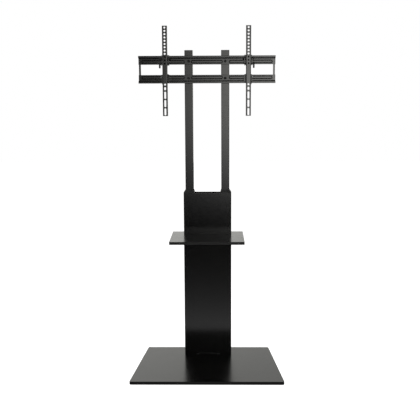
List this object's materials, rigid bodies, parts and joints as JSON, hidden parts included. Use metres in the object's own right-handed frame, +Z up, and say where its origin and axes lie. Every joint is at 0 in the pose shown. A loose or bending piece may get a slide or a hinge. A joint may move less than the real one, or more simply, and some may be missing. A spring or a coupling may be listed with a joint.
{
  "type": "tv stand with mount",
  "caption": "Free-standing screen stand: board base, folded steel column with a shelf, telescoping uprights and a hook-on tilting screen mount.",
  "frame": {"origin": "middle of the base's footprint, on the floor", "axes": "+X to the right seen from the front, +Y to the back, +Z up; the front faces -Y"},
  "size_m": [0.7152, 0.47, 1.6515],
  "materials": {
    "board_lacquer": "black satin lacquer",
    "column_paint": "fine black powder coat",
    "frame_paint": "plain black paint",
    "mount_paint": "black powder coat",
    "black_plastic": "moulded black",
    "pad_rubber": "matt black",
    "black_oxide": "blackened steel",
    "zinc_plate": "bright zinc plate"
  },
  "bodies": {
    "stand": {"base_plate": "board_lacquer", "foot_pads": "pad_rubber", "foot_plate": "frame_paint", "base_bolts": "zinc_plate", "base_nuts": "zinc_plate", "left_sleeve": "frame_paint", "right_sleeve": "frame_paint", "cross_straps": "frame_paint", "column_cover": "column_paint", "rear_panel": "column_paint", "panel_screws": "zinc_plate", "left_collar": "black_plastic", "right_collar": "black_plastic", "shelf": "board_lacquer", "left_shelf_bracket": "column_paint", "right_shelf_bracket": "column_paint", "shelf_wood_screws": "zinc_plate", "shelf_bracket_screws": "black_oxide", "lock_nuts": "zinc_plate"},
    "mast": {"left_upright": "column_paint", "right_upright": "column_paint", "upright_caps": "black_plastic", "upper_rail": "mount_paint", "lower_rail": "mount_paint", "left_end_strap": "mount_paint", "right_end_strap": "mount_paint", "rail_bolts": "black_oxide", "rail_washers": "zinc_plate", "rail_nuts": "zinc_plate"},
    "left_carrier": {"left_hanger": "mount_paint", "left_pivot_bolt": "black_oxide", "left_pivot_nut": "black_oxide", "pivot_bushes_left": "black_plastic", "left_clamp_bolt": "black_oxide", "left_latch_screw": "zinc_plate"},
    "left_screen_arm": {"left_arm": "mount_paint"},
    "left_lever": {"left_tilt_lever": "black_plastic"},
    "left_catch": {"left_latch": "black_oxide"},
    "left_knob": {"left_lock_knob": "black_plastic"},
    "right_carrier": {"right_hanger": "mount_paint", "right_pivot_bolt": "black_oxide", "right_pivot_nut": "black_oxide", "pivot_bushes_right": "black_plastic", "right_clamp_bolt": "black_oxide", "right_latch_screw": "zinc_plate"},
    "right_screen_arm": {"right_arm": "mount_paint"},
    "right_lever": {"right_tilt_lever": "black_plastic"},
    "right_catch": {"right_latch": "black_oxide"},
    "right_knob": {"right_lock_knob": "black_plastic"}
  },
  "joints": [
    {"name": "mast_height", "type": "slide", "parent": "stand", "child": "mast", "axis": [0, 0, 1], "range_m": [-0.4, 0.05]},
    {"name": "left_hanger_slide", "type": "slide", "parent": "mast", "child": "left_carrier", "axis": [1, 0, 0], "range_m": [-0.1, 0.1]},
    {"name": "left_arm_tilt", "type": "hinge", "parent": "left_carrier", "child": "left_screen_arm", "pos_m": [-0.2, 0.1141, 1.5], "axis": [1, 0, 0], "range_deg": [0, 10]},
    {"name": "left_lever_turn", "type": "hinge", "parent": "left_carrier", "child": "left_lever", "pos_m": [-0.2, 0.1141, 1.477], "axis": [1, 0, 0], "range_deg": [-90, 0]},
    {"name": "left_latch_turn", "type": "hinge", "parent": "left_carrier", "child": "left_catch", "pos_m": [-0.2, 0.1281, 1.41], "axis": [1, 0, 0], "range_deg": [-40, 0]},
    {"name": "left_knob_turn", "type": "hinge", "parent": "stand", "child": "left_knob", "pos_m": [-0.08925, 0.228, 0.783], "axis": [0, 1, 0], "continuous": true},
    {"name": "right_hanger_slide", "type": "slide", "parent": "mast", "child": "right_carrier", "axis": [1, 0, 0], "range_m": [-0.1, 0.1]},
    {"name": "right_arm_tilt", "type": "hinge", "parent": "right_carrier", "child": "right_screen_arm", "pos_m": [0.2, 0.1141, 1.5], "axis": [1, 0, 0], "range_deg": [0, 10]},
    {"name": "right_lever_turn", "type": "hinge", "parent": "right_carrier", "child": "right_lever", "pos_m": [0.2, 0.1141, 1.477], "axis": [1, 0, 0], "range_deg": [-90, 0]},
    {"name": "right_latch_turn", "type": "hinge", "parent": "right_carrier", "child": "right_catch", "pos_m": [0.2, 0.1281, 1.41], "axis": [1, 0, 0], "range_deg": [-40, 0]},
    {"name": "right_knob_turn", "type": "hinge", "parent": "stand", "child": "right_knob", "pos_m": [0.08925, 0.228, 0.783], "axis": [0, 1, 0], "continuous": true}
  ]
}
